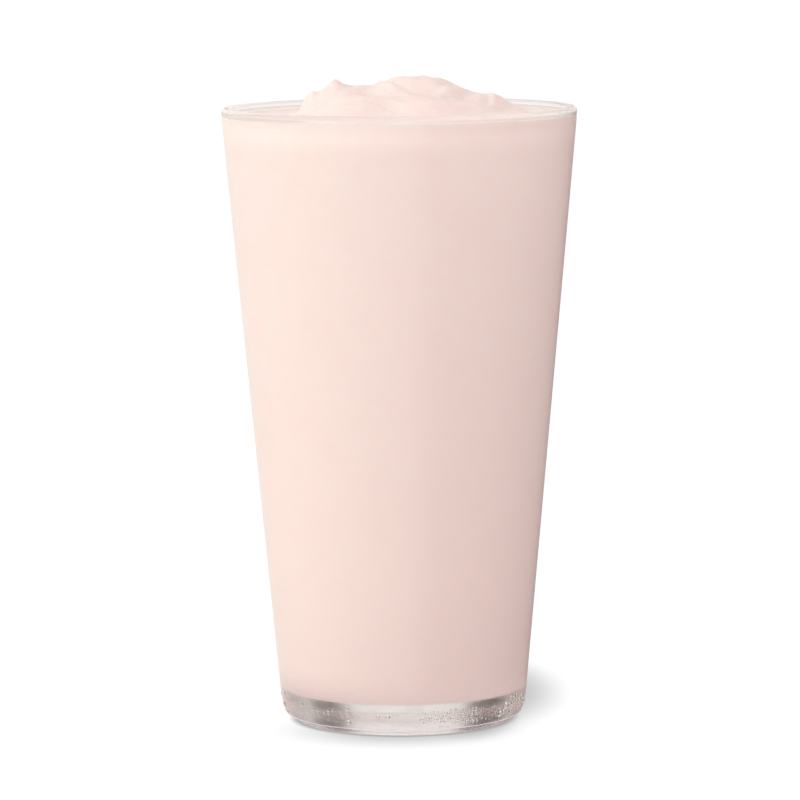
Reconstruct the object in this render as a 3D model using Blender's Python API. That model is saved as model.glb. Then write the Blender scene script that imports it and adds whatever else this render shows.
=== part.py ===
"""A frosted lemonade in a clear, tapered drinking glass.

Two solids, in metres, +Z up, with the origin at the centre of the glass's foot, on the table:

    glass                a pressed tumbler with a thick clear base, a stepped foot and a rounded lip
    frosted_lemonade     the thick frozen drink that fills it and heaps above the lip in soft lobes

Run it with: blender --background --python part.py
"""

import math
from typing import NamedTuple

import bmesh
import bpy
from mathutils import Vector, noise

# Both solids are turned about the glass's axis with as many sides, so the gap between them is even.
SIDES = 96
WELD = 1e-6  # points closer than this are one point
SHARP_DEG = 35  # edges sharper than this stay crisp

# The glass, outside: a straight cone between a rounded heel and a rounded lip.
GLASS_HEIGHT = 0.1530
WALL_LOW_RADIUS = 0.0310  # of the cone, at WALL_LOW_Z
WALL_LOW_Z = 0.0100
OUTER_TAPER = 0.0922  # radius gained for each unit of height

# The lip: a full round, a little proud of the wall below it.
LIP_RADIUS = 0.00115
MOUTH_RADIUS = 0.0440
LIP_OPENS_DEG = 20  # how far below its widest points the round meets the wall
LIP_STEPS = 8
NECK_DROP = 0.0034  # from the top of the glass down to where the wall is straight again

# The heel: an elliptical arc down to the foot, set in from the cone by a slight shoulder.
SHOULDER_TOP_Z = 0.0084
SHOULDER_DEPTH = 0.0004
SHOULDER_STEPS = 3
HEEL_CENTRE_Z = 0.0076
HEEL_REACH = 0.00245
HEEL_HEIGHT = 0.0067
HEEL_START_DEG = 14
HEEL_END_DEG = 81
HEEL_STEPS = 5

# The foot: a low plinth that stands on a flat ring round a shallow hollow.
FOOT_RADIUS = 0.0276
FOOT_HEIGHT = 0.00095
FOOT_ROUND = 0.0008
FOOT_ROUND_STEPS = 2
RING_INNER_RADIUS = 0.0240
HOLLOW_DEPTH = 0.0010
HOLLOW_STEPS = 2

# The glass, inside.
FLOOR_Z = 0.0075
FLOOR_CORNER = 0.0030
FLOOR_CORNER_STEPS = 4
INNER_LOW_RADIUS = 0.0281  # of the inner cone, at WALL_LOW_Z
INNER_TAPER = 0.0966

# The drink: it fills the glass to just below the lip, with a gap all round that keeps the solids apart.
GAP = 0.0003
LEVEL_Z = 0.1507
EDGE_ROUND = 0.0006
EDGE_STEPS = 2
HEAP_RINGS = 30  # rings of points across the heap
RING_CROWDING = 0.8  # under 1 brings the outer rings closer together, where the heap is steep
HEAP_REACH = 0.0340
MARGIN_RINGS = 3  # rings of points between the heap and the glass


class Lobe(NamedTuple):
    """A soft bump on the drink: its place, half-widths, turn, height, and how square its top is.

    A low squareness makes a peak, and a high one a flat-topped pillow with steep sides.
    """

    x: float
    y: float
    half_x: float
    half_y: float
    turn_deg: float
    height: float
    squareness: float


LOBES = {
    "skirt": Lobe(0.0030, 0.0005, 0.0272, 0.0245, -4, 0.0034, 3.6),
    "crown": Lobe(0.0040, -0.0005, 0.0172, 0.0138, 8, 0.0097, 2.5),
    "saddle": Lobe(-0.0055, -0.0010, 0.0100, 0.0095, 0, 0.0074, 2.8),
    "left_pillow": Lobe(-0.0128, -0.0015, 0.0098, 0.0105, -12, 0.0078, 3.4),
    "left_tip": Lobe(-0.0160, -0.0022, 0.0044, 0.0058, 25, 0.0085, 1.3),
    "left_shelf": Lobe(-0.0181, 0.0005, 0.0063, 0.0098, 6, 0.0064, 5.0),
    "right_slope": Lobe(0.0126, -0.0030, 0.0077, 0.0105, -20, 0.0073, 3.2),
    "right_shelf": Lobe(0.0202, -0.0012, 0.0078, 0.0100, -8, 0.0055, 4.0),
    "right_toe": Lobe(0.0260, 0.0010, 0.0058, 0.0080, 14, 0.0034, 2.6),
    "front_left": Lobe(-0.0085, -0.0120, 0.0130, 0.0110, 24, 0.0055, 2.3),
    "front_fold": Lobe(0.0050, -0.0140, 0.0140, 0.0105, -6, 0.0051, 2.3),
    "front_right": Lobe(0.0160, -0.0105, 0.0110, 0.0100, -32, 0.0048, 2.3),
    "back_left": Lobe(-0.0090, 0.0115, 0.0120, 0.0105, -24, 0.0052, 2.5),
    "back_fold": Lobe(0.0050, 0.0140, 0.0140, 0.0100, 10, 0.0048, 2.5),
    "back_right": Lobe(0.0165, 0.0100, 0.0100, 0.0095, 36, 0.0042, 2.5),
}
MELT = 0.0006  # how softly neighbouring lobes run together

# Smooth noise over the top of the drink, each read at a length of its own and in a slice of its own.
WANDER_X_NOISE = (0.0095, 3.7)
WANDER_Y_NOISE = (0.0095, 6.4)
FOLD_BEND_NOISE = (0.0110, 8.2)
FOLD_PATCH_NOISE = (0.0090, 5.1)
SWELL_NOISE = (0.0120, 1.3)

WANDER = 0.0009  # how far the lobes' outlines wander
SWELL = 0.0002  # of the level surface round the heap, fading out beside the glass
SWELL_FADE = 0.0040

# Soft folds curl once round the crown, with a gentle back and a steeper front.
FOLD_HEIGHT = 0.00040
FOLD_PITCH = 0.0066
FOLD_BEND = 0.9  # how far a fold strays from a true spiral, in pitches
FOLD_LEAN = 0.35
FOLD_FADE = 0.0040  # heap height under which the folds fade out

GLASS_COLOUR = (0.93, 0.95, 0.95, 1.0)
GLASS_ROUGHNESS = 0.02
LEMONADE_COLOUR = (0.91, 0.73, 0.65, 1.0)
LEMONADE_ROUGHNESS = 0.55


def clear_scene():
    """Removes every object that the session starts with."""
    for leftover in list(bpy.data.objects):
        bpy.data.objects.remove(leftover)


def material(name, colour, roughness, transmission=0.0):
    """A Principled material with a plain colour."""
    made = bpy.data.materials.new(name)
    made.use_nodes = True
    shader = made.node_tree.nodes["Principled BSDF"]
    shader.inputs["Base Color"].default_value = colour
    shader.inputs["Roughness"].default_value = roughness
    shader.inputs["Metallic"].default_value = 0.0
    shader.inputs["Transmission Weight"].default_value = transmission
    return made


def outer_radius(z):
    """Radius of the glass's outer cone at height z."""
    return WALL_LOW_RADIUS + OUTER_TAPER * (z - WALL_LOW_Z)


def inner_radius(z):
    """Radius of the glass's inner cone at height z."""
    return INNER_LOW_RADIUS + INNER_TAPER * (z - WALL_LOW_Z)


def arc(centre, reach, height, start_deg, end_deg, steps):
    """Points (radius, z) along an elliptical arc about centre; 0 degrees points outwards and 90 up."""
    angles = (math.radians(start_deg + (end_deg - start_deg) * i / steps) for i in range(steps + 1))
    return [(centre[0] + reach * math.cos(a), centre[1] + height * math.sin(a)) for a in angles]


def foot_profile():
    """The underside from the axis out: the shallow hollow, the flat ring and the plinth's rounded edge."""
    hollow = [
        (RING_INNER_RADIUS * i / HOLLOW_STEPS, HOLLOW_DEPTH * (1 - (i / HOLLOW_STEPS) ** 2))
        for i in range(HOLLOW_STEPS + 1)
    ]
    round_centre = (FOOT_RADIUS - FOOT_ROUND, FOOT_ROUND)
    edge = arc(round_centre, FOOT_ROUND, FOOT_ROUND, -90, 0, FOOT_ROUND_STEPS)
    return hollow + edge + [(FOOT_RADIUS, FOOT_HEIGHT)]


def heel_profile():
    """The heel from the crease above the foot up to the shoulder, where it eases out to the cone."""
    centre_r = outer_radius(HEEL_CENTRE_Z) - SHOULDER_DEPTH - HEEL_REACH
    centre = (centre_r, HEEL_CENTRE_Z)
    heel = arc(centre, HEEL_REACH, HEEL_HEIGHT, -HEEL_END_DEG, -HEEL_START_DEG, HEEL_STEPS)
    low_r, low_z = heel[-1]
    shoulder = []
    for i in range(1, SHOULDER_STEPS + 1):
        part = i / SHOULDER_STEPS
        z = low_z + (SHOULDER_TOP_Z - low_z) * part
        ease = (1 - math.cos(math.pi * part)) / 2
        shoulder.append((outer_radius(z) - (outer_radius(low_z) - low_r) * (1 - ease), z))
    return heel + shoulder


def lip_profile():
    """The straight wall's top and the full round of the lip, from the outside over to the inside."""
    centre = (MOUTH_RADIUS - LIP_RADIUS, GLASS_HEIGHT - LIP_RADIUS)
    neck_z = GLASS_HEIGHT - NECK_DROP
    bead = arc(centre, LIP_RADIUS, LIP_RADIUS, -LIP_OPENS_DEG, 180 + LIP_OPENS_DEG, LIP_STEPS)
    return [(outer_radius(neck_z), neck_z)] + bead + [(inner_radius(neck_z), neck_z)]


def inside_profile(inset):
    """The inner cone's foot and the floor, down from the wall to the axis, drawn in by inset."""
    corner = FLOOR_CORNER - inset
    lean = math.atan(INNER_TAPER)
    centre_z = FLOOR_Z + FLOOR_CORNER
    centre_r = inner_radius(centre_z) - FLOOR_CORNER / math.cos(lean)
    rounded = arc((centre_r, centre_z), corner, corner, -math.degrees(lean), -90, FLOOR_CORNER_STEPS)
    return rounded + [(0.0, FLOOR_Z + inset)]


def lathe(name, profile):
    """A closed solid turned about Z from a profile that starts and ends on the axis."""
    mesh = bpy.data.meshes.new(name)
    shape = bmesh.new()
    points = [shape.verts.new((radius, 0.0, z)) for radius, z in profile]
    edges = [shape.edges.new(pair) for pair in zip(points, points[1:])]
    bmesh.ops.spin(
        shape, geom=points + edges, cent=(0, 0, 0), axis=(0, 0, 1), angle=math.tau, steps=SIDES
    )
    bmesh.ops.remove_doubles(shape, verts=shape.verts, dist=WELD)
    bmesh.ops.recalc_face_normals(shape, faces=shape.faces)
    shape.to_mesh(mesh)
    shape.free()
    made = bpy.data.objects.new(name, mesh)
    bpy.context.scene.collection.objects.link(made)
    return made


def smooth_noise(x, y, field):
    """Smooth noise from -1 to 1 over the point (x, y)."""
    length, layer = field
    return noise.noise(Vector((x / length, y / length, layer)))


def wandering(x, y):
    """The point (x, y) nudged by a slow, smooth noise, which keeps the lobes from being true ovals."""
    wandering_x = x + WANDER * smooth_noise(x, y, WANDER_X_NOISE)
    wandering_y = y + WANDER * smooth_noise(x, y, WANDER_Y_NOISE)
    return wandering_x, wandering_y


def lobe_height(lobe, x, y):
    """Height of one lobe over (x, y), which falls below zero outside it."""
    turn = math.radians(lobe.turn_deg)
    along = (x - lobe.x) * math.cos(turn) + (y - lobe.y) * math.sin(turn)
    across = (y - lobe.y) * math.cos(turn) - (x - lobe.x) * math.sin(turn)
    out = math.hypot(along / lobe.half_x, across / lobe.half_y)
    return lobe.height * (1 - out**lobe.squareness)


def melted_lobes(x, y):
    """Height of all the lobes over (x, y), run together into one soft heap on the level drink."""
    heap_x, heap_y = wandering(x, y)
    heights = [0.0] + [lobe_height(lobe, heap_x, heap_y) for lobe in LOBES.values()]
    highest = max(heights)
    return highest + MELT * math.log(sum(math.exp((height - highest) / MELT) for height in heights))


def fold_height(x, y, heap):
    """Height of the folds over (x, y), where the heap is heap high; they die out at the crown and edge."""
    from_crown_x = x - LOBES["crown"].x
    from_crown_y = y - LOBES["crown"].y
    out = math.hypot(from_crown_x, from_crown_y) / FOLD_PITCH
    around = math.atan2(from_crown_y, from_crown_x) / math.tau
    phase = math.tau * (out - around + FOLD_BEND * smooth_noise(x, y, FOLD_BEND_NOISE))
    wave = math.sin(phase) + FOLD_LEAN * math.sin(2 * phase)
    strength = (1 + smooth_noise(x, y, FOLD_PATCH_NOISE)) / 2
    return FOLD_HEIGHT * wave * strength * min(1.0, heap / FOLD_FADE) * min(1.0, out)


def relief(x, y):
    """Height of the drink's top over its level: the heap, its folds, and a slight swell round it."""
    heap = melted_lobes(x, y)
    from_glass = inner_radius(LEVEL_Z) - math.hypot(x, y)
    swell = SWELL * smooth_noise(x, y, SWELL_NOISE) * min(1.0, max(0.0, from_glass / SWELL_FADE))
    return heap + fold_height(x, y, heap) + swell


def build_glass():
    """The tumbler: underside, heel, wall, lip, inner wall and floor, turned as one closed solid."""
    profile = foot_profile() + heel_profile() + lip_profile() + inside_profile(0.0)
    glass = lathe("glass", profile)
    glass.data.materials.append(material("clear_glass", GLASS_COLOUR, GLASS_ROUGHNESS, transmission=1.0))
    return glass


def build_lemonade():
    """The frozen drink: it follows the glass's inside, and its top is raised into the heap."""
    edge_r = inner_radius(LEVEL_Z) - GAP
    edge_round = arc((edge_r - EDGE_ROUND, LEVEL_Z - EDGE_ROUND), EDGE_ROUND, EDGE_ROUND, 90, 0, EDGE_STEPS)
    margin_width = edge_r - EDGE_ROUND - HEAP_REACH
    margin = [(HEAP_REACH + margin_width * i / MARGIN_RINGS, LEVEL_Z) for i in range(MARGIN_RINGS)]
    heap = [(HEAP_REACH * (i / HEAP_RINGS) ** RING_CROWDING, LEVEL_Z) for i in range(HEAP_RINGS)]
    drink = lathe("frosted_lemonade", heap + margin + edge_round + inside_profile(GAP))
    for vertex in drink.data.vertices:
        if vertex.co.z > LEVEL_Z - WELD:
            vertex.co.z += relief(vertex.co.x, vertex.co.y)
    drink.data.materials.append(material("frosted_lemonade", LEMONADE_COLOUR, LEMONADE_ROUGHNESS))
    return drink


def split_quads(piece):
    """Splits each bent four-sided face along its shorter diagonal, so that the folds keep their lines."""
    shape = bmesh.new()
    shape.from_mesh(piece.data)
    bmesh.ops.triangulate(shape, faces=shape.faces, quad_method="SHORT_EDGE")
    shape.to_mesh(piece.data)
    shape.free()


def shade_round(piece):
    """Smooth shading, with the sharpest edges kept crisp."""
    piece.data.shade_smooth()
    piece.data.set_sharp_from_angle(angle=math.radians(SHARP_DEG))


def main():
    """Builds both solids."""
    clear_scene()
    for piece in (build_glass(), build_lemonade()):
        split_quads(piece)
        shade_round(piece)


main()
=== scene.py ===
"""Dresses the frosted lemonade: clear glass, frozen drink, cold water beads, and the studio round them.

Sizes are in metres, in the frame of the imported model: +Z up, with the origin at the centre of the foot.
"""

import logging
import math
import random
from collections.abc import Sequence
from dataclasses import dataclass, field
from enum import Enum
from typing import Any

import bpy
from mathutils import Matrix, Vector, noise


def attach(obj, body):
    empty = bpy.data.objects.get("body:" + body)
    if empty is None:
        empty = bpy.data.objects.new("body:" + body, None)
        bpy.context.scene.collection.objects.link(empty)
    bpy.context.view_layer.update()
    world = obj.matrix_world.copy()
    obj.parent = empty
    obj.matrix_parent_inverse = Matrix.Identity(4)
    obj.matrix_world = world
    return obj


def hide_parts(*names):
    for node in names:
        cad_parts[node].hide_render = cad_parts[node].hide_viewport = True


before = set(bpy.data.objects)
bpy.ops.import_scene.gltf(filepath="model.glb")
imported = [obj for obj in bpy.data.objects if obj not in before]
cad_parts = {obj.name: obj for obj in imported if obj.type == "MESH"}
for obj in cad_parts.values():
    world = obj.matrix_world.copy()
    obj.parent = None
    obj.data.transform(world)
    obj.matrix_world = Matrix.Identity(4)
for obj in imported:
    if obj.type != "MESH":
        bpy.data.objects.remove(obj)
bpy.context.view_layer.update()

Point = tuple[float, float, float]
ProfilePoint = tuple[float, float]
Face = tuple[int, ...]
Span = tuple[float, float]
Colour = tuple[float, float, float]
Socket = bpy.types.NodeSocket
Given = dict[int | str, Any]

LOG = logging.getLogger("frosted_lemonade")
BODY = "root"
WHITE: Colour = (1.0, 1.0, 1.0)


class Slot(Enum):
    """The record's material slots."""

    GLASS = "clear_glass"
    LEMONADE = "frosted_lemonade"


class Ray(Enum):
    """Kinds of ray, by the name of their Light Path output."""

    CAMERA = "Is Camera Ray"
    SHADOW = "Is Shadow Ray"
    DIFFUSE = "Is Diffuse Ray"
    REFRACTED = "Is Transmission Ray"


# ---- Shader graphs ----


@dataclass(frozen=True)
class Value:
    """A number in a shader graph, carried by a node's output, on which sums are written as plain Python."""

    graph: "Graph"
    socket: Socket

    def _sum(self, operation: str, first: Any, second: Any) -> "Value":
        """Adds one Math node, on two numbers or values."""
        return self.graph.value("ShaderNodeMath", "Value", {"operation": operation}, {0: first, 1: second})

    def __add__(self, other: Any) -> "Value":
        """This value plus another."""
        return self._sum("ADD", self, other)

    def __sub__(self, other: Any) -> "Value":
        """This value less another."""
        return self._sum("SUBTRACT", self, other)

    def __rsub__(self, other: Any) -> "Value":
        """Another less this value."""
        return self._sum("SUBTRACT", other, self)

    def __mul__(self, other: Any) -> "Value":
        """This value times another."""
        return self._sum("MULTIPLY", self, other)

    def __abs__(self) -> "Value":
        """This value without its sign."""
        return self._sum("ABSOLUTE", self, 0.0)

    __radd__ = __add__
    __rmul__ = __mul__

    def turn_from(self, ahead: Any) -> "Value":
        """The angle, in radians from straight ahead, of a way that goes this far aside and so far ahead."""
        return self._sum("ARCTAN2", self, ahead)

    def between(self, low: float, high: float) -> "Value":
        """A soft step, from 0 where this value is low to 1 where it is high."""
        given = {"Value": self, "From Min": low, "From Max": high}
        return self.graph.value("ShaderNodeMapRange", "Result", {"interpolation_type": "SMOOTHSTEP"}, given)


class Graph:
    """The node tree of a material or of the world."""

    ROUGHNESS = 0.55
    MIXED_COLOURS = (6, 7)
    MIXED_RESULT = 2

    def __init__(self, tree: bpy.types.NodeTree) -> None:
        """Empties the tree, to build in it."""
        self.tree = tree
        tree.nodes.clear()

    def add(self, kind: str, settings: Given | None = None, sockets: Given | None = None) -> bpy.types.Node:
        """Adds a node.

        Args:
            kind: the node's type.
            settings: its properties, which are set first.
            sockets: its inputs, by name or number: a value, a Value or another node's output.

        Returns:
            The node.
        """
        node = self.tree.nodes.new(kind)
        for name, setting in (settings or {}).items():
            setattr(node, name, setting)
        for name, given in (sockets or {}).items():
            if isinstance(given, Value):
                given = given.socket
            if isinstance(given, Socket):
                self.tree.links.new(given, node.inputs[name])
            else:
                node.inputs[name].default_value = given
        return node

    def value(self, kind: str, output: str, settings: Given, sockets: Given) -> Value:
        """Adds a node as add does, and takes one of its outputs as a number."""
        return Value(self, self.add(kind, settings, sockets).outputs[output])

    def place(self) -> Socket:
        """Where a point lies on the object, in metres."""
        return self.add("ShaderNodeTexCoord").outputs["Object"]

    def grain(self, size: float, detail: float = 3.0) -> Value:
        """Smooth noise from 0 to 1 over the object, with grains of a size and so many finer layers."""
        given = {"Vector": self.place(), "Scale": 1 / size, "Detail": detail, "Roughness": self.ROUGHNESS}
        return self.value("ShaderNodeTexNoise", "Fac", {}, given)

    def split(self, where: Socket) -> tuple[Value, Value, Value]:
        """The x, y and z of a place or a direction."""
        parts = self.add("ShaderNodeSeparateXYZ", sockets={"Vector": where}).outputs
        return Value(self, parts[0]), Value(self, parts[1]), Value(self, parts[2])

    def mix(self, share: Value, low: Any, high: Any) -> Socket:
        """A colour between two.

        Args:
            share: how much of the second colour, from 0 to 1.
            low: the first colour, or the output that carries it.
            high: the second one, likewise.

        Returns:
            The mixed colour.
        """
        sockets: Given = {"Factor": share}
        for number, given in zip(self.MIXED_COLOURS, (low, high)):
            sockets[number] = given if isinstance(given, Socket) else (*given, 1.0)
        return self.add("ShaderNodeMix", {"data_type": "RGBA"}, sockets).outputs[self.MIXED_RESULT]

    def reckon(self, operation: str, first: Any, second: Any = None) -> bpy.types.Node:
        """Adds one Vector Math node, on one or two places or colours."""
        given = {0: first} if second is None else {0: first, 1: second}
        return self.add("ShaderNodeVectorMath", {"operation": operation}, given)

    def blend(self, ray: Ray, shader: Socket, other: Socket) -> Socket:
        """A shader that one kind of ray finds replaced by another."""
        given = {0: self.add("ShaderNodeLightPath").outputs[ray.value], 1: shader, 2: other}
        return self.add("ShaderNodeMixShader", sockets=given).outputs[0]

    def clear(self, colour: Colour, haze: Any, refraction: float, normal: Socket, tint: Colour) -> Socket:
        """A clear shader that bends light, but lets lamp light and soft light straight through.

        Args:
            colour: the colour of what it bends.
            haze: its roughness.
            refraction: its index of refraction.
            normal: its bumped normal.
            tint: what is left of the light that goes straight through.

        Returns:
            The shader.
        """
        bending = self.add(
            "ShaderNodeBsdfPrincipled",
            sockets={
                "Base Color": (*colour, 1.0),
                "Roughness": haze,
                "IOR": refraction,
                "Transmission Weight": 1.0,
                "Normal": normal,
            },
        ).outputs[0]
        straight = self.add("ShaderNodeBsdfTransparent", sockets={"Color": (*tint, 1.0)}).outputs[0]
        return self.blend(Ray.DIFFUSE, self.blend(Ray.SHADOW, bending, straight), straight)

    def glow(self, tone: Any, kind: str = "ShaderNodeEmission") -> Socket:
        """A shader that shows a tone as it is, unlit."""
        return self.add(kind, sockets={"Color": tone, "Strength": 1.0}).outputs[0]

    def bump(self, height: Value, depth: float, strength: float = 1.0) -> Socket:
        """The normal of a relief from 0 to 1 that is so many metres deep; a low strength flattens it."""
        given = {"Height": height, "Distance": depth, "Strength": strength}
        return self.add("ShaderNodeBump", sockets=given).outputs["Normal"]

    def surface(self, shader: Socket, kind: str = "ShaderNodeOutputMaterial") -> None:
        """Ends the graph with the shader that shows."""
        self.add(kind, sockets={"Surface": shader})


def new_material(name: str) -> tuple[bpy.types.Material, Graph]:
    """Makes an empty material.

    Args:
        name: the material's name.

    Returns:
        The material and its graph.
    """
    made = bpy.data.materials.new(name)
    made.use_nodes = True
    return made, Graph(made.node_tree)


# ---- Finishes ----


@dataclass(frozen=True)
class ClearGlass:
    """Smooth pressed glass, fogged by the cold round its foot."""

    colour: Colour = (0.985, 0.99, 0.988)
    straight_tint: Colour = (0.95, 0.955, 0.955)
    refraction: float = 1.5
    ripple_size: float = 0.018
    ripple_depth: float = 0.00004
    haze: float = 0.04
    lip_haze: float = 0.14
    lip_z: Span = (0.1500, 0.1510)
    fog: float = 0.20
    fog_fade_z: Span = (0.0085, 0.0130)
    fog_patch_size: float = 0.0030
    fog_patch_edge: Span = (0.25, 0.70)
    fog_least: float = 0.5

    def material(self) -> bpy.types.Material:
        """Builds the material.

        Returns:
            The material.
        """
        made, graph = new_material("pressed_clear_glass")
        height = graph.split(graph.place())[2]
        patches = graph.grain(self.fog_patch_size).between(*self.fog_patch_edge)
        thick = patches * (1 - self.fog_least) + self.fog_least
        fog = (1.0 - height.between(*self.fog_fade_z)) * thick * self.fog
        lip = height.between(*self.lip_z) * (self.lip_haze - self.haze)
        ripples = graph.bump(graph.grain(self.ripple_size, detail=1.0), self.ripple_depth)
        haze = fog + lip + self.haze
        graph.surface(graph.clear(self.colour, haze, self.refraction, ripples, self.straight_tint))
        return made


@dataclass(frozen=True)
class WaterBead:
    """Clean water in small beads."""

    straight_tint: Colour = (0.97, 0.97, 0.97)
    refraction: float = 1.33
    ripple_size: float = 0.0004
    ripple_depth: float = 0.00001

    def material(self) -> bpy.types.Material:
        """Builds the material.

        Returns:
            The material.
        """
        made, graph = new_material("cold_water")
        ripples = graph.bump(graph.grain(self.ripple_size, detail=1.0), self.ripple_depth)
        graph.surface(graph.clear(WHITE, 0.0, self.refraction, ripples, self.straight_tint))
        return made


@dataclass(frozen=True)
class FrozenLemonade:
    """Pale, peach-pink frozen drink: soft, slightly moist, with a fine icy grain and faint streaks.

    Its tones, from the underside up to the heap, give way to each other over spans of height.
    """

    # painted highlight: a pale underside, which shows through the base as a bright line
    underside: Colour = (0.93, 0.88, 0.86)
    # painted shade: the foot and low tones make the body darker towards the foot
    foot: Colour = (0.735, 0.62, 0.57)
    low: Colour = (0.778, 0.655, 0.595)
    high: Colour = (0.825, 0.725, 0.663)
    # painted light: a paler band just below the lip
    painted_top_light: Colour = (0.865, 0.767, 0.71)
    heap: Colour = (0.815, 0.712, 0.655)
    underside_z: Span = (0.0074, 0.00755)
    foot_z: Span = (-0.01, 0.045)
    full_height: float = 0.155
    painted_top_light_z: Span = (0.1425, 0.1500)
    heap_z: Span = (0.1510, 0.1525)
    streak: Colour = (0.785, 0.655, 0.595)
    streak_share: float = 0.35
    streak_size: float = 0.014
    streak_edge: Span = (0.35, 0.75)
    grain_share: float = 0.3
    grain_size: float = 0.00045
    grain_depth: float = 0.00012
    grain_strength: float = 0.6
    grain_edge: Span = (0.35, 0.65)
    moist_roughness: float = 0.38
    dry_roughness: float = 0.63
    refraction: float = 1.34
    scatter: Colour = (1.0, 0.55, 0.42)
    scatter_depth: float = 0.0040
    scatter_weight: float = 0.5

    def tone(self, graph: Graph, grain: Value) -> Socket:
        """Mixes the drink's tones.

        Args:
            graph: the material's graph.
            grain: the icy grain.

        Returns:
            The colour.
        """
        height = graph.split(graph.place())[2]
        streaks = graph.grain(self.streak_size).between(*self.streak_edge)
        mottle = (streaks * (1 - self.grain_share) + grain * self.grain_share) * self.streak_share
        # painted shade: darker lower down, and darker still near the foot
        body = graph.mix(height * (1 / self.full_height), self.low, self.high)
        filled = graph.mix(height.between(*self.foot_z), self.foot, graph.mix(mottle, body, self.streak))
        # painted light: the band just below the lip is paler
        with_painted_top_light = graph.mix(height.between(*self.painted_top_light_z), filled, self.painted_top_light)
        heaped = graph.mix(height.between(*self.heap_z), with_painted_top_light, self.heap)
        # painted highlight: the pale underside
        return graph.mix(height.between(*self.underside_z), self.underside, heaped)

    def material(self) -> bpy.types.Material:
        """Builds the material.

        Returns:
            The material.
        """
        made, graph = new_material("frozen_lemonade")
        grain = graph.grain(self.grain_size)
        uneven = self.dry_roughness - self.moist_roughness
        drink = graph.add(
            "ShaderNodeBsdfPrincipled",
            {"subsurface_method": "RANDOM_WALK"},
            {
                "Base Color": self.tone(graph, grain),
                "Roughness": grain.between(*self.grain_edge) * uneven + self.moist_roughness,
                "IOR": self.refraction,
                "Subsurface Weight": self.scatter_weight,
                "Subsurface Radius": self.scatter,
                "Subsurface Scale": self.scatter_depth,
                "Normal": graph.bump(grain, self.grain_depth, self.grain_strength),
            },
        )
        graph.surface(drink.outputs[0])
        return made


@dataclass(frozen=True)
class Shade:
    """A soft oval shadow painted on the table."""

    centre: Point
    half_across: float
    half_deep: float
    full_at: float
    gone_at: float
    tone: Colour

    def over(self, graph: Graph, ground: Any) -> Socket:
        """Lays the painted shadow over a tone.

        Args:
            graph: the table's graph.
            ground: the tone outside the shade.

        Returns:
            The shaded tone.
        """
        per_reach = (1 / self.half_across, 1 / self.half_deep, 0.0)
        off = graph.reckon("SUBTRACT", graph.place(), self.centre).outputs["Vector"]
        shares = graph.reckon("MULTIPLY", off, per_reach).outputs["Vector"]
        out = Value(graph, graph.reckon("LENGTH", shares).outputs["Value"])
        return graph.mix(out.between(self.full_at, self.gone_at), self.tone, ground)


@dataclass(frozen=True)
class WhiteTable:
    """A glowing white table; painted shadows lie behind on the right, in front, to the right and round the
    foot.
    """

    white: Colour = (1.03, 1.03, 1.03)
    painted_shadows: tuple[Shade, ...] = (
        Shade((0.0150, 0.0360, 0.0), 0.0319, 0.0704, 0.424, 0.968, (0.554, 0.556, 0.564)),
        Shade((-0.0006, -0.0178, 0.0), 0.0374, 0.0323, 0.036, 0.993, (0.503, 0.503, 0.510)),
        Shade((0.0154, 0.0056, 0.0), 0.0141, 0.0387, 0.543, 1.118, (0.490, 0.492, 0.503)),
        Shade((0.0, 0.0, 0.0), 0.0288, 0.0288, 0.91, 1.02, (0.37, 0.365, 0.37)),
    )

    def material(self) -> bpy.types.Material:
        """Builds the material.

        Returns:
            The material.
        """
        made, graph = new_material("white_table_painted_shadows")
        tone: Any = self.white
        # paints each shadow over the even white glow
        for shade in self.painted_shadows:
            tone = shade.over(graph, tone)
        graph.surface(graph.glow(tone))
        return made


# ---- Shapes ----


def new_piece(name: str, points: Sequence[Point], faces: Sequence[Sequence[int]]) -> bpy.types.Object:
    """Makes a smooth mesh object.

    Args:
        name: the piece's name.
        points: its corners.
        faces: its faces, by corner number.

    Returns:
        The object, linked to the scene.
    """
    mesh = bpy.data.meshes.new(name)
    mesh.from_pydata(points, [], faces)
    mesh.shade_smooth()
    made = bpy.data.objects.new(name, mesh)
    bpy.context.scene.collection.objects.link(made)
    return made


def ring(radius: float, z: float, sides: int) -> list[Point]:
    """Corners evenly spaced on a level circle round the axis."""
    angles = [math.tau * side / sides for side in range(sides)]
    return [(radius * math.cos(angle), radius * math.sin(angle), z) for angle in angles]


def skin(rings: int, sides: int) -> list[Face]:
    """Faces of a closed skin, whose corners are a first tip, rings in turn, and a last tip.

    Args:
        rings: how many rings there are.
        sides: how many corners a ring has.

    Returns:
        The faces, which point out.
    """
    top = 1 + (rings - 1) * sides
    tip = top + sides
    faces: list[Face] = []
    for side in range(sides):
        after = (side + 1) % sides
        faces.append((0, 1 + after, 1 + side))
        for low in range(1, top, sides):
            high = low + sides
            faces.append((low + side, low + after, high + after, high + side))
        faces.append((tip, top + side, top + after))
    return faces


def turned(name: str, profile: Sequence[ProfilePoint], sides: int) -> bpy.types.Object:
    """Turns a profile about the glass's axis.

    Args:
        name: the piece's name.
        profile: radius and height of each point, from one end on the axis round to the other.
        sides: how many steps the turn has.

    Returns:
        The closed piece, with its faces pointing out.
    """
    points: list[Point] = [(0.0, 0.0, profile[0][1])]
    for radius, z in profile[1:-1]:
        points += ring(radius, z, sides)
    points.append((0.0, 0.0, profile[-1][1]))
    return new_piece(name, points, skin(len(profile) - 2, sides))


def arc(
    centre: ProfilePoint, reach: float, height: float, start_deg: float, end_deg: float, steps: int
) -> list[ProfilePoint]:
    """Points along an elliptical arc in so many steps; 0 degrees points outwards and 90 up."""
    angles = (math.radians(start_deg + (end_deg - start_deg) * i / steps) for i in range(steps + 1))
    return [(centre[0] + reach * math.cos(a), centre[1] + height * math.sin(a)) for a in angles]


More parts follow.
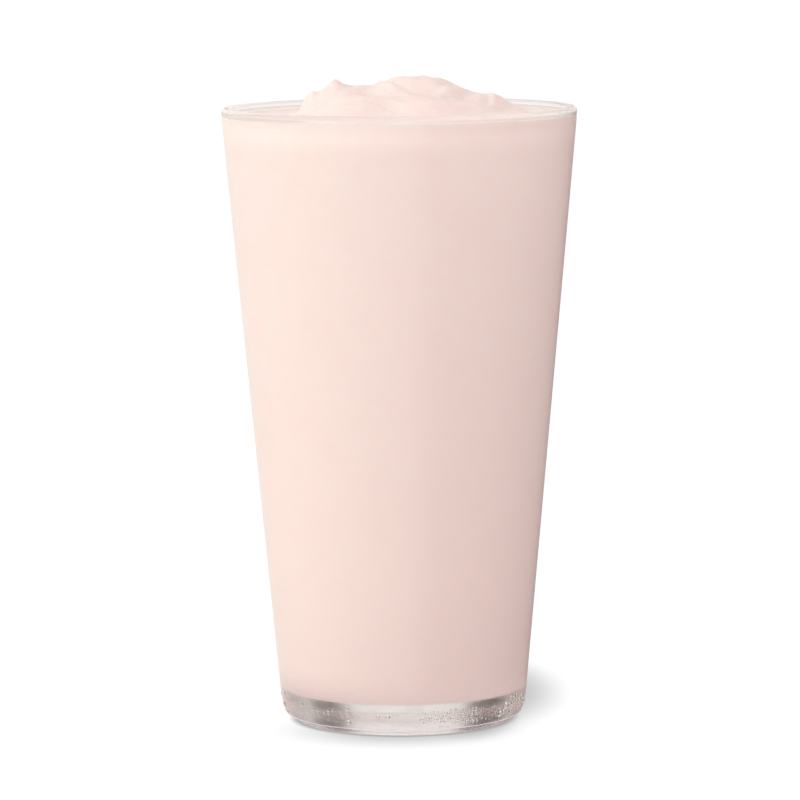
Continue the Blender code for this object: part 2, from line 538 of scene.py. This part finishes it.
def stretch(start: ProfilePoint, end: ProfilePoint, steps: int) -> list[ProfilePoint]:
    """Points between two others, without either, that cut the line in so many steps."""
    shares = [i / steps for i in range(1, steps)]
    return [(start[0] + (end[0] - start[0]) * s, start[1] + (end[1] - start[1]) * s) for s in shares]


class Layer(Enum):
    """Fields of smooth noise, each by where it is cut from the same block of noise."""

    SWELL = 1.3
    CRUMPLE = 2.2
    WANDER_ACROSS = 3.7
    GRAIN = 4.8
    FOLD_PATCH = 5.1
    WANDER_AWAY = 6.4
    CLING = 7.7
    FOLD_BEND = 8.2
    FINE_CRUMPLE = 9.6


def smooth_noise(x: float, y: float, length: float, layer: Layer) -> float:
    """Smooth noise from -1 to 1 over a plane, in waves of a length."""
    return noise.noise(Vector((x / length, y / length, layer.value)))


@dataclass(frozen=True)
class TumblerForm:
    """The sizes of the glass; its tapers are radius gained for each unit of height."""

    height: float = 0.1530
    wall_low_z: float = 0.0100
    outer_low_radius: float = 0.0310
    outer_taper: float = 0.0922
    inner_low_radius: float = 0.0281
    inner_taper: float = 0.0966
    lip_radius: float = 0.00115
    mouth_radius: float = 0.0440
    lip_opens_deg: float = 20.0
    neck_drop: float = 0.0034
    neck_hollow: float = 0.00003
    shoulder_top_z: float = 0.0084
    shoulder_depth: float = 0.0002
    heel_centre_z: float = 0.0076
    heel_reach: float = 0.00245
    heel_height: float = 0.0067
    heel_start_deg: float = 14.0
    heel_end_deg: float = 58.0
    heel_edge: float = 0.0006
    foot_radius: float = 0.0266
    foot_round: float = 0.00025
    ring_inner_radius: float = 0.0240
    hollow_depth: float = 0.0003
    floor_z: float = 0.0075
    floor_corner: float = 0.0090
    slope_probe: float = 0.0001

    def outer(self, z: float) -> float:
        """Radius of the outer cone at a height."""
        return self.outer_low_radius + self.outer_taper * (z - self.wall_low_z)

    def inner(self, z: float) -> float:
        """Radius of the inner cone at a height."""
        return self.inner_low_radius + self.inner_taper * (z - self.wall_low_z)

    def heel_centre(self) -> ProfilePoint:
        """The centre of the heel's arc."""
        return self.outer(self.heel_centre_z) - self.shoulder_depth - self.heel_reach, self.heel_centre_z

    def heel_point(self, down_deg: float) -> ProfilePoint:
        """The point of the heel's arc that is so many degrees below its centre."""
        return arc(self.heel_centre(), self.heel_reach, self.heel_height, -down_deg, -down_deg, 1)[0]

    def edge_deg(self) -> float:
        """How far down the heel faces where it ends, in degrees."""
        end = math.radians(self.heel_end_deg)
        return math.degrees(math.atan2(math.sin(end) / self.heel_height, math.cos(end) / self.heel_reach))

    def edge_centre(self) -> ProfilePoint:
        """The centre of the small round under the heel, above the foot."""
        (end_r, end_z), facing = self.heel_point(self.heel_end_deg), math.radians(self.edge_deg())
        return end_r - self.heel_edge * math.cos(facing), end_z + self.heel_edge * math.sin(facing)

    def skin_radius(self, z: float) -> float:
        """Radius of the glass's outside at a height, from the heel up to the neck.

        Args:
            z: the height.

        Returns:
            The radius.
        """
        centre_r, centre_z = self.heel_centre()
        low_r, low_z = self.heel_point(self.heel_start_deg)
        if z >= self.shoulder_top_z:
            return self.outer(z)
        if z <= low_z:
            drop = min(1.0, (centre_z - z) / self.heel_height)
            return centre_r + self.heel_reach * math.sqrt(1 - drop * drop)
        part = (z - low_z) / (self.shoulder_top_z - low_z)
        ease = (1 - math.cos(math.pi * part)) / 2
        return self.outer(z) - (self.outer(low_z) - low_r) * (1 - ease)

    def skin_slope(self, z: float) -> float:
        """Radius that the outside gains for each unit of height, at a height."""
        above, below = z + self.slope_probe, z - self.slope_probe
        return (self.skin_radius(above) - self.skin_radius(below)) / (2 * self.slope_probe)


@dataclass
class Tumbler:
    """The clear glass: underside, foot, heel, wall, rounded lip and the inside down to its floor."""

    form: TumblerForm = field(default_factory=TumblerForm)
    finish: ClearGlass = field(default_factory=ClearGlass)
    sides: int = 288
    hollow_steps: int = 10
    foot_steps: int = 6
    edge_steps: int = 8
    heel_steps: int = 16
    shoulder_steps: int = 8
    wall_steps: int = 12
    neck_steps: int = 5
    lip_steps: int = 20
    corner_steps: int = 20
    floor_steps: int = 4

    def foot(self) -> list[ProfilePoint]:
        """The underside, with its shallow hollow, and the edge that the glass stands on.

        Returns:
            The points, from the axis out.
        """
        form = self.form
        shares = [i / self.hollow_steps for i in range(self.hollow_steps + 1)]
        hollow = [(form.ring_inner_radius * share, form.hollow_depth * (1 - share**2)) for share in shares]
        centre = (form.foot_radius - form.foot_round, form.foot_round)
        edge = arc(centre, form.foot_round, form.foot_round, -90, 0, self.foot_steps)
        return hollow + edge + [(form.foot_radius, form.edge_centre()[1] - form.heel_edge)]

    def heel(self) -> list[ProfilePoint]:
        """The round under the heel, the heel, and the slight shoulder above it.

        Returns:
            The points, from the foot up.
        """
        form = self.form
        edge = form.heel_edge
        under = arc(form.edge_centre(), edge, edge, -90, -form.edge_deg(), self.edge_steps)
        low_deg, high_deg = -form.heel_end_deg, -form.heel_start_deg
        reach, height = form.heel_reach, form.heel_height
        rise = arc(form.heel_centre(), reach, height, low_deg, high_deg, self.heel_steps)
        low_z = rise[-1][1]
        count = self.shoulder_steps
        heights = [low_z + (form.shoulder_top_z - low_z) * i / count for i in range(1, count + 1)]
        return under[:-1] + rise + [(form.skin_radius(z), z) for z in heights]

    def neck(self, start: ProfilePoint, end: ProfilePoint) -> list[ProfilePoint]:
        """The soft hollow between the straight wall and the lip's round.

        Args:
            start: the point before it.
            end: the point after it.

        Returns:
            The points between.
        """
        inward = self.form.neck_hollow * math.copysign(1, end[1] - start[1])
        points = stretch(start, end, self.neck_steps)
        turn = math.pi / self.neck_steps
        return [(r - inward * math.sin(turn * i), z) for i, (r, z) in enumerate(points, start=1)]

    def lip(self) -> list[ProfilePoint]:
        """The wall, the full round of the lip, and the top of the wall inside.

        Returns:
            The points, from the shoulder up and over.
        """
        form = self.form
        centre = (form.mouth_radius - form.lip_radius, form.height - form.lip_radius)
        start_deg, end_deg = -form.lip_opens_deg, 180 + form.lip_opens_deg
        bead = arc(centre, form.lip_radius, form.lip_radius, start_deg, end_deg, self.lip_steps)
        neck_z = form.height - form.neck_drop
        outside = (form.outer(neck_z), neck_z)
        inside = (form.inner(neck_z), neck_z)
        wall = stretch((form.outer(form.shoulder_top_z), form.shoulder_top_z), outside, self.wall_steps)
        over = self.neck(outside, bead[0]) + bead + self.neck(bead[-1], inside)
        return wall + [outside] + over + [inside]

    def inside(self, spread: float = 0.0) -> list[ProfilePoint]:
        """The inner cone's foot and the floor.

        Args:
            spread: how far the line is moved out into the glass.

        Returns:
            The points, from the wall down to the axis.
        """
        form = self.form
        corner = form.floor_corner + spread
        lean = math.atan(form.inner_taper)
        centre_z = form.floor_z + form.floor_corner
        centre_r = form.inner(centre_z) - form.floor_corner / math.cos(lean)
        rounded = arc((centre_r, centre_z), corner, corner, -math.degrees(lean), -90, self.corner_steps)
        floor = (0.0, form.floor_z - spread)
        return rounded + stretch(rounded[-1], floor, self.floor_steps) + [floor]

    def build(self) -> bpy.types.Object:
        """Builds and dresses the glass.

        Returns:
            The glass.
        """
        profile = self.foot() + self.heel() + self.lip() + self.inside()
        glass = turned("drinking_glass", profile, self.sides)
        glass.data.materials.append(self.finish.material())
        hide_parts("glass")
        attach(glass, BODY)
        return glass


@dataclass(frozen=True)
class Lobe:
    """A soft bump on the drink; a low squareness makes a peak, and a high one a flat-topped pillow."""

    x: float
    y: float
    half_x: float
    half_y: float
    turn_deg: float
    height: float
    squareness: float

    def over(self, x: float, y: float) -> float:
        """Height of the lobe, which falls below zero outside it.

        Args:
            x: where, across.
            y: where, away from the viewer.

        Returns:
            The height.
        """
        turn = math.radians(self.turn_deg)
        along = (x - self.x) * math.cos(turn) + (y - self.y) * math.sin(turn)
        across = (y - self.y) * math.cos(turn) - (x - self.x) * math.sin(turn)
        out = math.hypot(along / self.half_x, across / self.half_y)
        return self.height * (1 - out**self.squareness)


LOBES = {
    "skirt": Lobe(0.0030, 0.0005, 0.0272, 0.0245, -4, 0.0034, 3.6),
    "crown": Lobe(0.0034, -0.0005, 0.0150, 0.0138, 8, 0.0097, 2.7),
    "saddle": Lobe(-0.0058, -0.0010, 0.0100, 0.0095, 0, 0.0060, 2.8),
    "left_pillow": Lobe(-0.0128, -0.0015, 0.0098, 0.0105, -12, 0.0076, 3.4),
    "left_tip": Lobe(-0.0159, -0.0022, 0.0046, 0.0062, 25, 0.0085, 1.7),
    "left_shelf": Lobe(-0.0182, 0.0005, 0.0069, 0.0098, 6, 0.0061, 4.4),
    "right_slope": Lobe(0.0115, -0.0030, 0.0068, 0.0108, -20, 0.0073, 4.0),
    "right_shelf": Lobe(0.0200, -0.0012, 0.0074, 0.0100, -8, 0.0054, 3.4),
    "right_toe": Lobe(0.0254, 0.0010, 0.0054, 0.0080, 14, 0.0028, 2.6),
    "front_left": Lobe(-0.0085, -0.0120, 0.0130, 0.0110, 24, 0.0055, 2.3),
    "front_fold": Lobe(0.0050, -0.0140, 0.0140, 0.0105, -6, 0.0051, 2.3),
    "front_right": Lobe(0.0150, -0.0100, 0.0100, 0.0085, -36, 0.0034, 2.3),
    "back_left": Lobe(-0.0090, 0.0115, 0.0120, 0.0105, -24, 0.0052, 2.5),
    "back_fold": Lobe(0.0050, 0.0140, 0.0140, 0.0100, 10, 0.0048, 2.5),
    "back_right": Lobe(0.0165, 0.0100, 0.0100, 0.0095, 36, 0.0042, 2.5),
}


@dataclass(frozen=True)
class HeapForm:
    """The relief on top of the drink: lobes melted together, soft curling folds, and a fine icy grain."""

    melt: float = 0.0013
    wander: float = 0.0009
    wander_length: float = 0.0095
    swell: float = 0.0002
    swell_length: float = 0.0120
    swell_fade: float = 0.0040
    fold_height: float = 0.00040
    fold_pitch: float = 0.0066
    fold_bend: float = 0.9
    fold_bend_length: float = 0.0110
    fold_patch_length: float = 0.0090
    fold_lean: float = 0.35
    fold_fade: float = 0.0040
    crumple: float = 0.00020
    crumple_length: float = 0.0030
    fine_crumple_share: float = 0.45
    grain: float = 0.00005
    grain_length: float = 0.0008
    level_liveliness: float = 0.35

    def lobes(self, x: float, y: float) -> float:
        """Height of all the lobes, run together into one soft heap.

        Args:
            x: where, across.
            y: where, away from the viewer.

        Returns:
            The height over the level drink.
        """
        heap_x = x + self.wander * smooth_noise(x, y, self.wander_length, Layer.WANDER_ACROSS)
        heap_y = y + self.wander * smooth_noise(x, y, self.wander_length, Layer.WANDER_AWAY)
        heights = [0.0] + [lobe.over(heap_x, heap_y) for lobe in LOBES.values()]
        highest = max(heights)
        return highest + self.melt * math.log(sum(math.exp((h - highest) / self.melt) for h in heights))

    def folds(self, x: float, y: float, heap: float) -> float:
        """Height of the folds that curl once round the crown.

        Args:
            x: where, across.
            y: where, away from the viewer.
            heap: how high the heap is there.

        Returns:
            The height, which may be below zero.
        """
        from_crown_x = x - LOBES["crown"].x
        from_crown_y = y - LOBES["crown"].y
        out = math.hypot(from_crown_x, from_crown_y) / self.fold_pitch
        around = math.atan2(from_crown_y, from_crown_x) / math.tau
        bend = self.fold_bend * smooth_noise(x, y, self.fold_bend_length, Layer.FOLD_BEND)
        phase = math.tau * (out - around + bend)
        wave = math.sin(phase) + self.fold_lean * math.sin(2 * phase)
        strength = (1 + smooth_noise(x, y, self.fold_patch_length, Layer.FOLD_PATCH)) / 2
        return self.fold_height * wave * strength * min(1.0, heap / self.fold_fade) * min(1.0, out)

    def fine(self, x: float, y: float, heap: float) -> float:
        """Height of the crumpled, icy surface, which is livelier on the heap than on the level drink.

        Args:
            x: where, across.
            y: where, away from the viewer.
            heap: how high the heap is there.

        Returns:
            The height, which may be below zero.
        """
        on_heap = min(1.0, max(0.0, heap) / self.fold_fade)
        lively = self.level_liveliness + (1 - self.level_liveliness) * on_heap
        crumple = smooth_noise(x, y, self.crumple_length, Layer.CRUMPLE)
        crumple += self.fine_crumple_share * smooth_noise(x, y, self.crumple_length / 2, Layer.FINE_CRUMPLE)
        grain = smooth_noise(x, y, self.grain_length, Layer.GRAIN)
        return lively * (self.crumple * crumple + self.grain * grain)

    def over(self, x: float, y: float, from_glass: float) -> float:
        """Height of the drink's top over its level.

        Args:
            x: where, across.
            y: where, away from the viewer.
            from_glass: how far the glass's wall is.

        Returns:
            The height.
        """
        heap = self.lobes(x, y)
        by_glass = min(1.0, max(0.0, from_glass / self.swell_fade))
        swell = self.swell * smooth_noise(x, y, self.swell_length, Layer.SWELL) * by_glass
        return heap + self.folds(x, y, heap) + swell + self.fine(x, y, heap)


@dataclass
class FrozenDrink:
    """The frozen drink: it fills the glass, reaches just into its wall, and heaps above the lip."""

    tumbler: Tumbler
    heap: HeapForm = field(default_factory=HeapForm)
    finish: FrozenLemonade = field(default_factory=FrozenLemonade)
    level_z: float = 0.1507
    into_wall: float = 0.00012
    cling: float = 0.00035
    cling_width: float = 0.0011
    cling_unevenness: float = 0.6
    cling_length: float = 0.004
    ring_step: float = 0.00027
    wall_steps: int = 24
    sides: int = 400
    hair: float = 0.000001

    def top(self, edge: float) -> list[ProfilePoint]:
        """The level top from the axis out to its edge, given its radius."""
        rings = round(edge / self.ring_step)
        return [(edge * i / rings, self.level_z) for i in range(rings + 1)]

    def rise(self, x: float, y: float, edge: float) -> float:
        """How far the top is raised: the heap, and where it clings to the glass.

        Args:
            x: where, across.
            y: where, away from the viewer.
            edge: the radius of the top.

        Returns:
            The rise over the level.
        """
        from_glass = edge - self.into_wall - math.hypot(x, y)
        cling = self.cling * math.exp(-max(0.0, from_glass) / self.cling_width)
        uneven = 1 + self.cling_unevenness * smooth_noise(x, y, self.cling_length, Layer.CLING)
        return self.heap.over(x, y, from_glass) + cling * uneven

    def build(self) -> bpy.types.Object:
        """Builds and dresses the drink.

        Returns:
            The drink.
        """
        edge = self.tumbler.form.inner(self.level_z) + self.into_wall
        inside = self.tumbler.inside(self.into_wall)
        wall = stretch((edge, self.level_z), inside[0], self.wall_steps)
        line = self.top(edge) + wall + inside
        drink = turned("frosted_lemonade_drink", line[::-1], self.sides)
        for vertex in drink.data.vertices:
            if vertex.co.z > self.level_z - self.hair:
                vertex.co.z += self.rise(vertex.co.x, vertex.co.y, edge)
        drink.data.materials.append(self.finish.material())
        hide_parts("frosted_lemonade")
        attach(drink, BODY)
        return drink


@dataclass(frozen=True)
class BeadPatch:
    """A patch of water beads: where it lies round the glass, how many they are, and their sizes."""

    centre_deg: float
    spread_deg: float
    count: int
    low_z: float
    high_z: float
    least_radius: float
    most_radius: float
    flatness: float = 0.28


@dataclass(frozen=True)
class Bead:
    """One water bead: its angle round the glass, its height, its half-width and how far it stands out."""

    angle: float
    z: float
    radius: float
    rise: float


@dataclass
class Condensation:
    """Cold water beads low on the outside of the glass, thick on one side and sparse on the other."""

    form: TumblerForm
    finish: WaterBead = field(default_factory=WaterBead)
    seed: int = 7
    rings: int = 4
    sides: int = 12
    small_bias: float = 1.6
    spacing: float = 0.9
    sag: float = 1.08
    lift: float = 0.00001
    patches: tuple[BeadPatch, ...] = (
        BeadPatch(-24, 7, 24, 0.0036, 0.0074, 0.00055, 0.00095, 0.36),
        BeadPatch(-60, 6, 36, 0.0030, 0.0068, 0.00026, 0.00048, 0.20),
        BeadPatch(-72, 5, 30, 0.0034, 0.0062, 0.00024, 0.00046),
        BeadPatch(-46, 9, 36, 0.0032, 0.0070, 0.00016, 0.00028, 0.20),
        BeadPatch(-64, 8, 70, 0.0030, 0.0068, 0.00014, 0.00026, 0.24),
        BeadPatch(-100, 9, 9, 0.0050, 0.0062, 0.00030, 0.00058),
        BeadPatch(-130, 7, 8, 0.0044, 0.0062, 0.00028, 0.00048),
        BeadPatch(-125, 16, 14, 0.0038, 0.0062, 0.00014, 0.00026),
        BeadPatch(90, 60, 260, 0.0024, 0.0080, 0.00018, 0.00062),
    )

    def apart(self, bead: Bead, other: Bead) -> bool:
        """Whether neither of two beads lies on the other."""
        along = (bead.angle - other.angle) * self.form.skin_radius(bead.z)
        return math.hypot(along, bead.z - other.z) > self.spacing * (bead.radius + other.radius)

    def spots(self) -> list[Bead]:
        """Draws the beads, and leaves out each that would lie on another.

        Returns:
            The beads.
        """
        draw = random.Random(self.seed)
        found: list[Bead] = []
        for patch in self.patches:
            for _ in range(patch.count):
                angle = math.radians(draw.gauss(patch.centre_deg, patch.spread_deg))
                z = draw.uniform(patch.low_z, patch.high_z)
                size = draw.random() ** self.small_bias
                radius = patch.least_radius + (patch.most_radius - patch.least_radius) * size
                bead = Bead(angle, z, radius, radius * patch.flatness)
                if all(self.apart(bead, other) for other in found):
                    found.append(bead)
        return found

    def dome(self, bead: Bead) -> list[Point]:
        """The corners of a flattened bead that stands on the glass.

        Args:
            bead: the bead.

        Returns:
            Its foot's middle, its rings from the foot out, and its tip.
        """
        skin_radius = self.form.skin_radius(bead.z)
        ahead_x, ahead_y = math.cos(bead.angle), math.sin(bead.angle)
        out = Vector((ahead_x, ahead_y, -self.form.skin_slope(bead.z))).normalized()
        along = Vector((-ahead_y, ahead_x, 0.0))
        up = out.cross(along)
        foot = Vector((skin_radius * ahead_x, skin_radius * ahead_y, bead.z)) + out * self.lift
        points = [tuple(foot)]
        for number in range(self.rings):
            turn = math.pi / 2 * number / self.rings
            reach = bead.radius * math.cos(turn)
            rise = bead.rise * math.sin(turn)
            for across, high, _ in ring(reach, 0.0, self.sides):
                bend = across**2 / (2 * skin_radius)
                points.append(tuple(foot + along * across + up * (high * self.sag) + out * (rise - bend)))
        points.append(tuple(foot + out * bead.rise))
        return points

    def build(self) -> bpy.types.Object:
        """Builds and dresses all the beads as one piece.

        Returns:
            The beads.
        """
        points: list[Point] = []
        faces: list[Face] = []
        for bead in self.spots():
            start = len(points)
            points += self.dome(bead)
            faces += [tuple(start + corner for corner in face) for face in skin(self.rings, self.sides)]
        beads = new_piece("water_beads", points, faces)
        beads.data.materials.append(self.finish.material())
        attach(beads, BODY)
        return beads


# ---- Studio ----


@dataclass
class Table:
    """The plain white table, wide enough to fill the view."""

    finish: WhiteTable = field(default_factory=WhiteTable)
    radius: float = 14.0
    sides: int = 96
    drop: float = 0.00002

    def build(self) -> None:
        """Builds the table top."""
        points = ring(self.radius, -self.drop, self.sides)
        table = new_piece("table_top", points, [tuple(range(self.sides))])
        table.data.materials.append(self.finish.material())
        table.visible_diffuse = table.visible_glossy = table.visible_transmission = False


def hang(light: bpy.types.Light, place: Vector, aim: Vector) -> None:
    """Hangs a lamp, which lights the drink but isn't mirrored in the glass.

    Args:
        light: the lamp's light.
        place: where it hangs.
        aim: what it shines at.
    """
    lamp = bpy.data.objects.new(light.name, light)
    lamp.location = place
    lamp.rotation_euler = (aim - place).to_track_quat("-Z", "Y").to_euler()
    lamp.visible_camera = lamp.visible_glossy = lamp.visible_transmission = False
    bpy.context.scene.collection.objects.link(lamp)


@dataclass(frozen=True)
class FarLamp:
    """A large, soft, far lamp; a bearing of 0 is on the camera's side, and a positive one to its right."""

    name: str
    bearing_deg: float
    elevation_deg: float
    spread_deg: float
    strength: float
    colour: Colour

    def build(self) -> None:
        """Builds the lamp."""
        light = bpy.data.lights.new(self.name, "SUN")
        light.angle = math.radians(self.spread_deg)
        light.energy = math.pi * self.strength
        light.color = self.colour
        bearing, rise = math.radians(self.bearing_deg), math.radians(self.elevation_deg)
        level = math.cos(rise)
        place = Vector((math.sin(bearing) * level, -math.cos(bearing) * level, math.sin(rise)))
        hang(light, place, Vector())


@dataclass(frozen=True)
class NearLamp:
    """A small soft lamp close to the lip, which lifts the shaded side of the top."""

    name: str
    place: Point
    aim: Point
    width: float
    power: float
    colour: Colour

    def build(self) -> None:
        """Builds the lamp."""
        light = bpy.data.lights.new(self.name, "AREA")
        light.size = self.width
        light.energy = self.power
        light.color = self.colour
        hang(light, Vector(self.place), Vector(self.aim))


@dataclass(frozen=True)
class Flag:
    """A soft dark strip on the ring of cards; its edge goes from one half-width to another."""

    bearing_deg: float
    edge_deg: Span
    tone: Colour

    def over(self, turn: Value, ground: Socket) -> Socket:
        """Lays the flag over a tone, for points at a turn from straight behind."""
        off = abs(turn - math.radians(self.bearing_deg))
        return turn.graph.mix(off.between(*map(math.radians, self.edge_deg)), self.tone, ground)


@dataclass(frozen=True)
class CardTones:
    """Light tones that fade from behind the glass to its sides, with a soft dark flag on either hand."""

    behind: Colour = (0.855, 0.805, 0.78)
    beside: Colour = (0.34, 0.315, 0.295)
    beside_low: Colour = (0.20, 0.19, 0.165)
    beside_high: Colour = (0.16, 0.15, 0.14)
    below: Colour = (0.56, 0.53, 0.51)
    beside_deg: Span = (6.0, 50.0)
    beside_low_z: Span = (0.004, 0.024)
    beside_high_z: Span = (0.028, 0.038)
    below_z: Span = (-0.120, -0.060)
    seam_x: Span = (-0.001, 0.001)
    left_flag: Flag = Flag(19.2, (3.2, 9.8), (0.13, 0.11, 0.10))
    right_flag: Flag = Flag(23.2, (5.6, 12.0), (0.11, 0.09, 0.085))

    def material(self) -> bpy.types.Material:
        """Builds the material.

        Returns:
            The material.
        """
        made, graph = new_material("toned_cards")
        x, y, z = graph.split(graph.place())
        turn = abs(x).turn_from(abs(y))
        beside = graph.mix(z.between(*self.beside_low_z), self.beside_low, self.beside)
        beside = graph.mix(z.between(*self.beside_high_z), beside, self.beside_high)
        level = graph.mix(turn.between(*map(math.radians, self.beside_deg)), self.behind, beside)
        sides = (self.right_flag.over(turn, level), self.left_flag.over(turn, level))
        flagged = graph.mix(x.between(*self.seam_x), *sides)
        graph.surface(graph.glow(graph.mix(z.between(*self.below_z), self.below, flagged)))
        return made


@dataclass
class LowCards:
    """A low ring of toned cards round the glass, which shows only bent through the thick base."""

    finish: CardTones = field(default_factory=CardTones)
    radius: float = 0.12
    top_z: float = 0.060
    foot_z: float = -0.14
    sides: int = 96

    def build(self) -> None:
        """Builds the ring."""
        points = ring(self.radius, self.foot_z, self.sides) + ring(self.radius, self.top_z, self.sides)
        faces: list[Face] = []
        for side in range(self.sides):
            after = (side + 1) % self.sides
            faces.append((side, after, self.sides + after, self.sides + side))
        cards = new_piece("low_cards", points, faces)
        cards.data.materials.append(self.finish.material())
        cards.visible_camera = cards.visible_diffuse = cards.visible_glossy = cards.visible_shadow = False


@dataclass(frozen=True)
class Surroundings:
    """The room: white to the eye, soft light on the drink, and toned where the glass bends or mirrors it.

    Its spans, of how far a direction goes across or up, or its bearing, are where tones give way.
    """

    soft_above: Colour = (0.83, 0.75, 0.765)
    soft_below: Colour = (1.10, 1.00, 1.02)
    soft_right: Colour = (0.62, 0.44, 0.50)
    soft_right_share: float = 0.33
    soft_right_across: Span = (0.2, 1.0)
    behind: Colour = (0.965, 0.93, 0.905)
    beside_left: Colour = (0.62, 0.555, 0.51)
    beside_right: Colour = (0.57, 0.51, 0.47)
    above: Colour = (0.84, 0.74, 0.69)
    below: Colour = (0.84, 0.80, 0.78)
    beside_across: Span = (-0.2, 0.2)
    beside_deg: Span = (35.0, 75.0)
    below_up: Span = (-0.40, -0.15)
    above_up: Span = (-0.02, 0.06)
    mirrored_left: Colour = (0.93, 0.87, 0.80)
    mirrored_right: Colour = (0.32, 0.24, 0.23)
    mirrored_above: Colour = (1.02, 0.98, 0.95)
    mirrored_below: Colour = (0.52, 0.48, 0.45)
    mirrored_across: Span = (-0.10, 0.35)
    mirrored_lean: float = 0.15
    mirrored_below_up: Span = (-0.60, -0.30)
    mirrored_above_up: Span = (-0.10, 0.05)

    def build(self) -> None:
        """Builds the world."""
        world = bpy.data.worlds.new("white_room")
        world.use_nodes = True
        world.cycles.sampling_method = "NONE"
        bpy.context.scene.world = world
        graph = Graph(world.node_tree)
        across, away, up = graph.split(graph.add("ShaderNodeTexCoord").outputs["Generated"])
        bearing = abs(across.turn_from(away))
        beside = graph.mix(across.between(*self.beside_across), self.beside_left, self.beside_right)
        walls = graph.mix(bearing.between(*map(math.radians, self.beside_deg)), self.behind, beside)
        level = graph.mix(up.between(*self.below_up), self.below, walls)
        bent = graph.mix(up.between(*self.above_up), level, self.above)
        from_left = (across + away * self.mirrored_lean).between(*self.mirrored_across)
        sides = graph.mix(from_left, self.mirrored_left, self.mirrored_right)
        lower = graph.mix(up.between(*self.mirrored_below_up), self.mirrored_below, sides)
        mirrored = graph.mix(up.between(*self.mirrored_above_up), lower, self.mirrored_above)
        even = graph.mix(up * 0.5 + 0.5, self.soft_below, self.soft_above)
        from_right = across.between(*self.soft_right_across) * self.soft_right_share
        soft = graph.mix(from_right, even, self.soft_right)
        light = graph.glow(mirrored, "ShaderNodeBackground")
        for ray, tone in {Ray.REFRACTED: bent, Ray.DIFFUSE: soft, Ray.CAMERA: (*WHITE, 1.0)}.items():
            light = graph.blend(ray, light, graph.glow(tone, "ShaderNodeBackground"))
        graph.surface(light, "ShaderNodeOutputWorld")


@dataclass
class Camera:
    """The long-lens camera, just above the drink's level; its pixels are those of an 800 by 800 picture."""

    distance: float = 1.211
    elevation_deg: float = 6.83
    roll_deg: float = -0.43
    aim: Point = (0.0, 0.0, 0.075)
    aim_pixel: tuple[float, float] = (401.5, 419.6)
    focal_pixels: float = 4859.0
    frame_pixels: float = 800.0
    sensor_mm: float = 36.0

    def away(self) -> Vector:
        """The direction from the aim to the camera."""
        rise = math.radians(self.elevation_deg)
        return Vector((0.0, -math.cos(rise), math.sin(rise)))

    def facing(self) -> tuple[Vector, Vector]:
        """Turns the camera so that its aim shows at the aim's pixel, and rolls it.

        Returns:
            Its directions to the right and ahead.
        """
        roll = math.radians(self.roll_deg)
        to_aim = -self.away()
        level_right = Vector((1.0, 0.0, 0.0))
        level_up = level_right.cross(to_aim)
        right = level_right * math.cos(roll) + level_up * math.sin(roll)
        up = level_up * math.cos(roll) - level_right * math.sin(roll)
        middle = self.frame_pixels / 2
        aside = (middle - self.aim_pixel[0]) / self.focal_pixels
        above = (self.aim_pixel[1] - middle) / self.focal_pixels
        ahead = (to_aim + right * aside + up * above).normalized()
        return (right - ahead * right.dot(ahead)).normalized(), ahead

    def build(self) -> None:
        """Builds the camera and makes it the scene's."""
        lens = bpy.data.cameras.new("product_camera")
        lens.sensor_width = self.sensor_mm
        lens.lens = self.focal_pixels / self.frame_pixels * self.sensor_mm
        camera = bpy.data.objects.new(lens.name, lens)
        right, ahead = self.facing()
        turn = Matrix((right, right.cross(ahead), -ahead)).transposed().to_4x4()
        camera.matrix_world = Matrix.Translation(Vector(self.aim) + self.away() * self.distance) @ turn
        bpy.context.scene.collection.objects.link(camera)
        bpy.context.scene.camera = camera


@dataclass
class Studio:
    """Everything round the drink: camera, room, table, cards and lamps."""

    lamps: tuple[FarLamp | NearLamp, ...] = (
        FarLamp("front_softbox", -13, 12, 50, 0.245, (1.0, 1.0, 0.98)),
        FarLamp("left_softbox", -85, 28, 50, 0.34, (0.98, 1.0, 0.925)),
        NearLamp(
            "right_fill", (0.085, -0.075, 0.205), (0.015, -0.01, 0.150), 0.04, 0.008, (1.0, 0.95, 0.965)
        ),
    )

    def build(self) -> None:
        """Builds the studio."""
        for part in (Camera(), Surroundings(), Table(), LowCards(), *self.lamps):
            part.build()
        bpy.context.scene.view_settings.view_transform = "Standard"


def report(piece: bpy.types.Object) -> None:
    """Says what a piece is made of.

    Args:
        piece: the finished piece.
    """
    low, high = (Vector(corner) for corner in (piece.bound_box[0], piece.bound_box[6]))
    size = " x ".join(f"{1000 * side:.1f}" for side in high - low)
    LOG.info("%s: %d faces, %s mm", piece.name, len(piece.data.polygons), size)


def main() -> None:
    """Builds the studio and every piece in order."""
    logging.basicConfig(level=logging.INFO, format="%(message)s")
    Studio().build()
    tumbler = Tumbler()
    for assembly in (tumbler, FrozenDrink(tumbler), Condensation(tumbler.form)):
        report(assembly.build())


if __name__ == "__main__":
    main()
